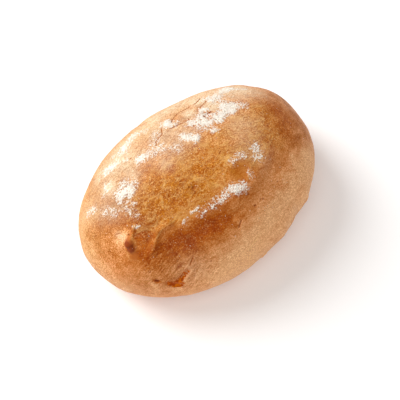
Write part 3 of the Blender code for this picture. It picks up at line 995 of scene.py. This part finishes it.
# ============================================================= materials ===
class Nodes:
    """A short hand for building one material's nodes."""

    def __init__(self, material):
        material.use_nodes = True
        self.tree = material.node_tree
        self.tree.nodes.clear()
        self.spot = self.tree.nodes.new("ShaderNodeTexCoord").outputs["Object"]

    def plug(self, socket, value):
        if isinstance(value, bpy.types.NodeSocket):
            self.tree.links.new(value, socket)
        elif isinstance(value, tuple) and len(value) == 3:
            socket.default_value = (*value, 1.0)
        else:
            socket.default_value = value

    def value(self, name):
        node = self.tree.nodes.new("ShaderNodeAttribute")
        node.attribute_name = name
        return node.outputs["Fac"]

    def math(self, kind, a, b=None, c=None, clamp=False):
        node = self.tree.nodes.new("ShaderNodeMath")
        node.operation, node.use_clamp = kind, clamp
        for socket, value in zip(node.inputs, (a, b, c)):
            if value is not None:
                self.plug(socket, value)
        return node.outputs[0]

    def add(self, a, b):
        return self.math("ADD", a, b)

    def times(self, a, b):
        return self.math("MULTIPLY", a, b)

    def step(self, value, low, high, start=0.0, end=1.0):
        node = self.tree.nodes.new("ShaderNodeMapRange")
        node.interpolation_type = "SMOOTHSTEP"
        for socket, given in zip(node.inputs[:5],
                                 (value, low, high, start, end)):
            self.plug(socket, given)
        return node.outputs[0]

    def noise(self, size, detail=2.0, rough=0.5, squash=None, offset=0.0,
              turn=None):
        """Noise of about this grain size in millimetres, -1 to 1."""
        spot = self.spot
        if turn:
            node = self.tree.nodes.new("ShaderNodeMapping")
            self.plug(node.inputs["Vector"], spot)
            node.inputs["Rotation"].default_value = turn
            spot = node.outputs[0]
        if squash or offset:
            node = self.tree.nodes.new("ShaderNodeMapping")
            self.plug(node.inputs["Vector"], spot)
            node.inputs["Scale"].default_value = squash or (1, 1, 1)
            node.inputs["Location"].default_value = (offset, -offset, offset)
            spot = node.outputs[0]
        node = self.tree.nodes.new("ShaderNodeTexNoise")
        self.plug(node.inputs["Vector"], spot)
        node.inputs["Scale"].default_value = 1.0 / (size * MM)
        node.inputs["Detail"].default_value = detail
        node.inputs["Roughness"].default_value = rough
        return self.math("MULTIPLY_ADD", node.outputs["Fac"], 2.0, -1.0)

    def cells(self, size, feature="F1"):
        node = self.tree.nodes.new("ShaderNodeTexVoronoi")
        node.feature = feature
        self.plug(node.inputs["Vector"], self.spot)
        node.inputs["Scale"].default_value = 1.0 / (size * MM)
        return node.outputs["Distance"], node.outputs["Color"]

    def ramp(self, value, stops):
        node = self.tree.nodes.new("ShaderNodeValToRGB")
        marks = node.color_ramp.elements
        while len(marks) < len(stops):
            marks.new(0.5)
        for mark, (place, colour) in zip(marks, stops):
            mark.position, mark.color = place, (*colour, 1.0)
        self.plug(node.inputs["Fac"], value)
        return node.outputs["Color"]

    def blend(self, share, a, b, kind="MIX"):
        node = self.tree.nodes.new("ShaderNodeMix")
        node.data_type, node.blend_type = "RGBA", kind
        node.clamp_factor = True
        self.plug(node.inputs["Factor"], share)
        self.plug(node.inputs["A"], a)
        self.plug(node.inputs["B"], b)
        return node.outputs["Result"]


# Crust colours from pale to deep brown, on a bake of 0 to 1.4.
CRUST_COLOURS = (
    (0.00, (0.87, 0.455, 0.205)),
    (0.25, (0.71, 0.287, 0.099)),
    (0.43, (0.54, 0.173, 0.036)),
    (0.61, (0.40, 0.088, 0.004)),
    (0.72, (0.34, 0.060, 0.002)),
    (1.00, (0.24, 0.034, 0.002)),
)
GOLD_COLOUR = (0.465, 0.155, 0.008)
# Painted light: the yellower look of the far side's brightly lit crust.
LIT_STRAW_COLOUR = (0.48, 0.235, 0.050)
FLECK_COLOUR = (0.86, 0.500, 0.215)
CREASE_COLOUR = (0.84, 0.500, 0.170)
SCORCH_COLOUR = (0.27, 0.050, 0.008)
# Pale scorch, also the colour of the nub's painted shadow and of its cap,
# partly a painted highlight.
PALE_SCORCH_AND_SHADOW = (0.45, 0.125, 0.022)
TORN_COLOUR = (0.70, 0.165, 0.001)
TORN_DARK = (0.42, 0.062, 0.001)
# Pits and cracks: a dark brown, in part painted shade in their hollows.
DENT_AND_SHADE_COLOUR = (0.29, 0.058, 0.005)
VEIL_COLOUR = (0.86, 0.710, 0.490)
FLOUR_COLOUR = (0.90, 0.860, 0.780)
FLOUR_SHADE = (0.80, 0.700, 0.560)


def crust_material():
    material = bpy.data.materials.new("baked_crust")
    n = Nodes(material)
    along = (0.5, 1.0, 1.0)          # skin drawn out along the roll
    specks = n.noise(0.44, 1.0, 0.6, squash=(0.75, 1.0, 1.0))
    flecks = n.noise(0.50, 0.0, 0.5, offset=0.53)
    grain = n.noise(0.95, 1.0, 0.6, squash=along, offset=0.31)
    clumps = n.noise(1.0, 1.0, 0.6, offset=0.13)
    mottle = n.noise(2.0, 1.0, 0.6, squash=(0.6, 1.0, 1.0), offset=0.77)
    blot = n.noise(4.8, 1.0, 0.6, offset=0.19)
    folds = n.noise(1.9, 0.5, 0.5, squash=(0.6, 1.0, 1.0), offset=0.43)
    seams = n.noise(4.2, 1.5, 0.5, squash=(0.6, 1.0, 1.0), offset=0.91)
    dots, chance = n.cells(1.35)
    drawn = n.noise(0.80, 1.0, 0.6, squash=(0.16, 1.0, 1.0), offset=0.37,
                    turn=(0.0, math.radians(42.5), 0.0))
    gold, veil_and_lit_tint = n.value("gold"), n.value("veil_and_lit_tint")
    flour, veil, dent = n.value("flour"), n.value("veil"), n.value("dent")
    torn, wrinkle = n.value("torn"), n.value("wrinkle")
    scorch_and_shade, smooth = n.value("scorch_and_shade"), n.value("smooth")
    streak = n.value("streak")
    ridge, furrow = n.value("ridge"), n.value("furrow")

    # Browning, with the mottling of the skin, liveliest on the crown.
    lively = n.value("lively")
    texture = n.add(n.times(grain, 0.13), n.times(mottle, 0.36))
    texture = n.add(texture, n.times(blot, 0.32))
    bake = n.add(n.value("bake"), n.times(texture, lively))
    # Furrows browner, partly painted shade on their flanks turned from the key
    # light.
    bake = n.add(bake, n.times(furrow, 1.1))
    bake = n.add(bake, n.times(n.times(drawn, streak), -0.55))
    beside = n.step(n.math("ABSOLUTE", n.add(folds, -0.13)), 0.0, 0.08,
                    0.16, 0.0)
    bake = n.math("MULTIPLY_ADD", beside, n.math("MAXIMUM", gold, 0.25),
                  bake)
    pits = n.times(n.step(flecks, -0.26, -0.42, 0.0, 0.40),
                   n.step(lively, 0.72, 1.0))
    bake = n.add(bake, pits)
    colour = n.ramp(n.math("DIVIDE", bake, 1.4, clamp=True), CRUST_COLOURS)
    tint = n.times(gold, n.step(mottle, -0.5, 0.4, 0.95, 0.50))
    colour = n.blend(tint, colour, GOLD_COLOUR)
    # Straw tint on the far side: painted light, the yellower look of its
    # brightly lit crust.
    colour = n.blend(n.times(veil_and_lit_tint, 0.55), colour, LIT_STRAW_COLOUR)

    # Fine grain: what is lighter is also creamier, most on browner crust;
    # partly the skin's own grain and partly painted glints of its gloss.
    fine = n.add(n.times(specks, 1.20), n.times(grain, 0.24))
    fine = n.math("MAXIMUM", fine, -0.22)
    fine = n.times(fine, n.math("MULTIPLY_ADD", smooth, -0.3, lively))
    shade = n.tree.nodes.new("ShaderNodeCombineColor")
    creamy = n.math("MULTIPLY_ADD", bake, 1.8, 2.1)
    for socket, gain in zip(shade.inputs, (0.80, 1.50, creamy)):
        n.plug(socket, n.math("MULTIPLY_ADD", fine, gain, 1.0))
    colour = n.blend(1.0, colour, shade.outputs[0], "MULTIPLY")

    # Light flecks, partly pale specks of skin and partly painted glints, and
    # thin light creases where the skin drew together.
    bare = n.math("SUBTRACT", 1.0, n.math("MAXIMUM", smooth, scorch_and_shade),
                  clamp=True)
    light = n.step(n.add(flecks, n.times(grain, 0.4)), 0.26, 0.50, 0.0, 0.36)
    dots = n.times(n.step(dots, 0.10, 0.25, 0.64, 0.0),
                   n.step(chance, 0.46, 0.58))
    light = n.times(n.math("MAXIMUM", light, dots), n.times(lively, bare))
    light = n.times(light, n.step(bake, 0.45, 0.95, 1.0, 0.85))
    colour = n.blend(light, colour, FLECK_COLOUR)
    crease = n.step(n.math("ABSOLUTE", folds), 0.0, 0.07, 0.8, 0.0)
    seam = n.step(n.math("ABSOLUTE", seams), 0.0, 0.035, 1.0, 0.0)
    crease = n.times(n.math("MAXIMUM", crease, seam),
                     n.step(mottle, -0.15, 0.20))
    crease = n.times(crease, n.math("MULTIPLY_ADD", gold, 0.75,
                                    n.times(lively, 0.16)))
    crease = n.math("MAXIMUM", crease, n.times(wrinkle, 0.5))
    crease = n.times(crease, bare)
    # Ridges lighter, partly paler skin and partly painted highlight on their
    # lit flanks.
    crease = n.math("MAXIMUM", crease, n.times(ridge, 1.9))
    colour = n.blend(crease, colour, CREASE_COLOUR)

    # The bare crumb of the tear, the scorched nub with its painted shadow, and
    # pits and cracks, these last partly painted shade.
    crumb = n.blend(n.step(n.add(grain, n.times(clumps, 0.8)), -0.25, 0.35),
                    TORN_DARK, TORN_COLOUR)
    colour = n.blend(n.step(torn, 0.15, 0.55), colour, crumb)
    burnt = n.math("MULTIPLY_ADD", specks, -0.25, scorch_and_shade)
    burnt = n.blend(n.step(burnt, 0.40, 0.78), PALE_SCORCH_AND_SHADOW, SCORCH_COLOUR)
    colour = n.blend(n.step(scorch_and_shade, 0.06, 0.50), colour, burnt)
    # Pits and cracks painted a dark brown, in part painted shade in their
    # hollows.
    colour = n.blend(n.times(dent, 0.85), colour, DENT_AND_SHADE_COLOUR)

    # Flour: an even veil, and dabs broken into grains.
    grains = n.add(n.times(specks, 0.80), n.times(clumps, 0.76))
    grains = n.add(grains, n.times(mottle, 0.36))
    broken = n.math("MULTIPLY_ADD", flour, 0.92, grains)
    dense = n.times(n.step(broken, 0.10, 0.82), n.step(flour, 0.02, 0.12))
    haze = n.math("MULTIPLY_ADD", veil_and_lit_tint, 0.05, n.times(flour, 0.12))
    powder = n.math("MULTIPLY_ADD", specks, 1.0, 0.9)
    powder = n.math("MULTIPLY_ADD", grain, 0.6, powder)
    haze = n.add(haze, n.times(veil, powder))
    open_skin = n.step(n.math("MAXIMUM", dent, torn), 0.15, 0.6, 1.0, 0.0)
    haze, dense = n.times(haze, open_skin), n.times(dense, open_skin)
    cover = n.math("MAXIMUM", n.times(dense, 0.95), haze, clamp=True)
    colour = n.blend(haze, colour, VEIL_COLOUR)
    colour = n.blend(n.times(dense, n.math("MULTIPLY_ADD", specks, 0.30,
                                           0.90)), colour, FLOUR_COLOUR)

    rough = n.math("MULTIPLY_ADD", cover, 0.35, 0.52)
    rough = n.add(rough, n.times(mottle, 0.12))

    height = n.add(n.times(specks, 0.5), n.times(grain, 0.8))
    height = n.add(height, n.times(crease, 0.7))
    height = n.add(height, n.times(dense, n.math("MULTIPLY_ADD", specks, 3.0,
                                                 2.8)))
    node = n.tree.nodes.new("ShaderNodeBump")
    node.inputs["Strength"].default_value = 1.0
    node.inputs["Distance"].default_value = 0.028 * MM
    n.plug(node.inputs["Height"], height)

    shader = n.tree.nodes.new("ShaderNodeBsdfPrincipled")
    n.plug(shader.inputs["Base Color"], colour)
    n.plug(shader.inputs["Roughness"], rough)
    n.plug(shader.inputs["Normal"], node.outputs[0])
    shader.inputs["Specular IOR Level"].default_value = 0.08
    shader.inputs["Sheen Weight"].default_value = 0.05
    shader.inputs["Sheen Roughness"].default_value = 0.30
    shader.inputs["Sheen Tint"].default_value = (1.0, 0.93, 0.84, 1.0)
    out = n.tree.nodes.new("ShaderNodeOutputMaterial")
    n.tree.links.new(shader.outputs[0], out.inputs["Surface"])
    return material


def flour_material():
    material = bpy.data.materials.new("loose_flour")
    n = Nodes(material)
    powder = n.noise(0.25, 2.0, 0.6)
    colour = n.blend(n.step(powder, -0.4, 0.4), FLOUR_SHADE, FLOUR_COLOUR)
    shader = n.tree.nodes.new("ShaderNodeBsdfPrincipled")
    n.plug(shader.inputs["Base Color"], colour)
    shader.inputs["Roughness"].default_value = 0.95
    shader.inputs["Specular IOR Level"].default_value = 0.05
    out = n.tree.nodes.new("ShaderNodeOutputMaterial")
    n.tree.links.new(shader.outputs[0], out.inputs["Surface"])
    return material


# ================================================================= stage ===
HEADING = math.radians(39.5482)      # of the view's right hand from +X
ELEVATION = math.radians(66.0)
VIEW_TARGET = np.array([-3.6375, -4.275, 22.0])
VIEW_DISTANCE = 461.1

# Lights: bearing in degrees from the view's left towards its far side,
# elevation, distance, width, and what each adds on the flat floor.
LIGHTS = (
    ("key", 23.0, 47.0, 1.2, 0.74, 0.55),
    ("low", 27.0, 26.0, 1.2, 1.00, 0.12),
    ("front", 274.0, 67.0, 1.2, 0.90, 0.24),
)
FILL_COLOUR = (1.0, 0.95, 0.92, 1.0)
FILL_STRENGTH = 0.355
FLOOR_GLOW = 0.16      # the pale table is lit a little from below


def view_axes():
    back = np.array([-math.sin(HEADING) * math.cos(ELEVATION),
                     -math.cos(HEADING) * math.cos(ELEVATION),
                     math.sin(ELEVATION)])
    right = np.array([math.cos(HEADING), -math.sin(HEADING), 0.0])
    return right, np.cross(back, right), back


def add_camera(shift):
    right, up, back = view_axes()
    data = bpy.data.cameras.new("camera")
    data.lens, data.sensor_width = 100.0, 36.0
    data.clip_start, data.clip_end = 0.01, 50.0
    camera = bpy.data.objects.new("camera", data)
    turn = Matrix((right, up, back)).transposed().to_4x4()
    place = (VIEW_TARGET + shift + back * VIEW_DISTANCE) * MM
    camera.matrix_world = Matrix.Translation(Vector(place)) @ turn
    bpy.context.scene.collection.objects.link(camera)
    bpy.context.scene.camera = camera


def add_area_light(name, towards, distance, size, strength):
    """A square light; strength is what it adds on the flat floor."""
    data = bpy.data.lights.new(name, "AREA")
    data.shape, data.size = "DISK", size
    data.energy = strength * math.pi ** 2 * distance ** 2 / towards[2]
    light = bpy.data.objects.new(name, data)
    light.location = Vector(towards * distance)
    light.rotation_mode = "QUATERNION"
    light.rotation_quaternion = Vector(towards).to_track_quat("Z", "Y")
    bpy.context.scene.collection.objects.link(light)
    return light


def build_stage():
    world = bpy.data.worlds.new("world")
    world.use_nodes = True
    background = world.node_tree.nodes["Background"]
    background.inputs["Color"].default_value = FILL_COLOUR
    background.inputs["Strength"].default_value = FILL_STRENGTH
    bpy.context.scene.world = world

    right, _, back = view_axes()
    left = -right
    far = -np.array([back[0], back[1], 0.0])
    far /= np.linalg.norm(far)
    for name, bearing, elevation, distance, size, strength in LIGHTS:
        turn, climb = math.radians(bearing), math.radians(elevation)
        level = left * math.cos(turn) + far * math.sin(turn)
        towards = level * math.cos(climb) + np.array([0, 0, math.sin(climb)])
        add_area_light(name, towards, distance, size, strength)

    mesh = bpy.data.meshes.new("floor")
    mesh.from_pydata([(-4, -4, 0), (4, -4, 0), (4, 4, 0), (-4, 4, 0)], [],
                     [(0, 1, 2, 3)])
    floor = bpy.data.objects.new("floor", mesh)
    bpy.context.scene.collection.objects.link(floor)
    material = bpy.data.materials.new("floor")
    material.use_nodes = True
    shader = material.node_tree.nodes["Principled BSDF"]
    shader.inputs["Base Color"].default_value = (0.9, 0.9, 0.9, 1.0)
    shader.inputs["Roughness"].default_value = 0.9
    shader.inputs["Specular IOR Level"].default_value = 0.0
    shader.inputs["Emission Color"].default_value = FILL_COLOUR
    shader.inputs["Emission Strength"].default_value = FLOOR_GLOW
    mesh.materials.append(material)

    settings = bpy.context.scene.view_settings
    settings.view_transform = "Standard"
    settings.look = "None"
    settings.exposure, settings.gamma = 0.0, 1.0


# ================================================================== main ===
crust, shift, skin = build_crust()
crust.data.materials.append(crust_material())
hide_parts(NODE)
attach(crust, "root")
grains = build_flour(*skin)
grains.data.materials.append(flour_material())
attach(grains, "root")
build_stage()
add_camera(shift)
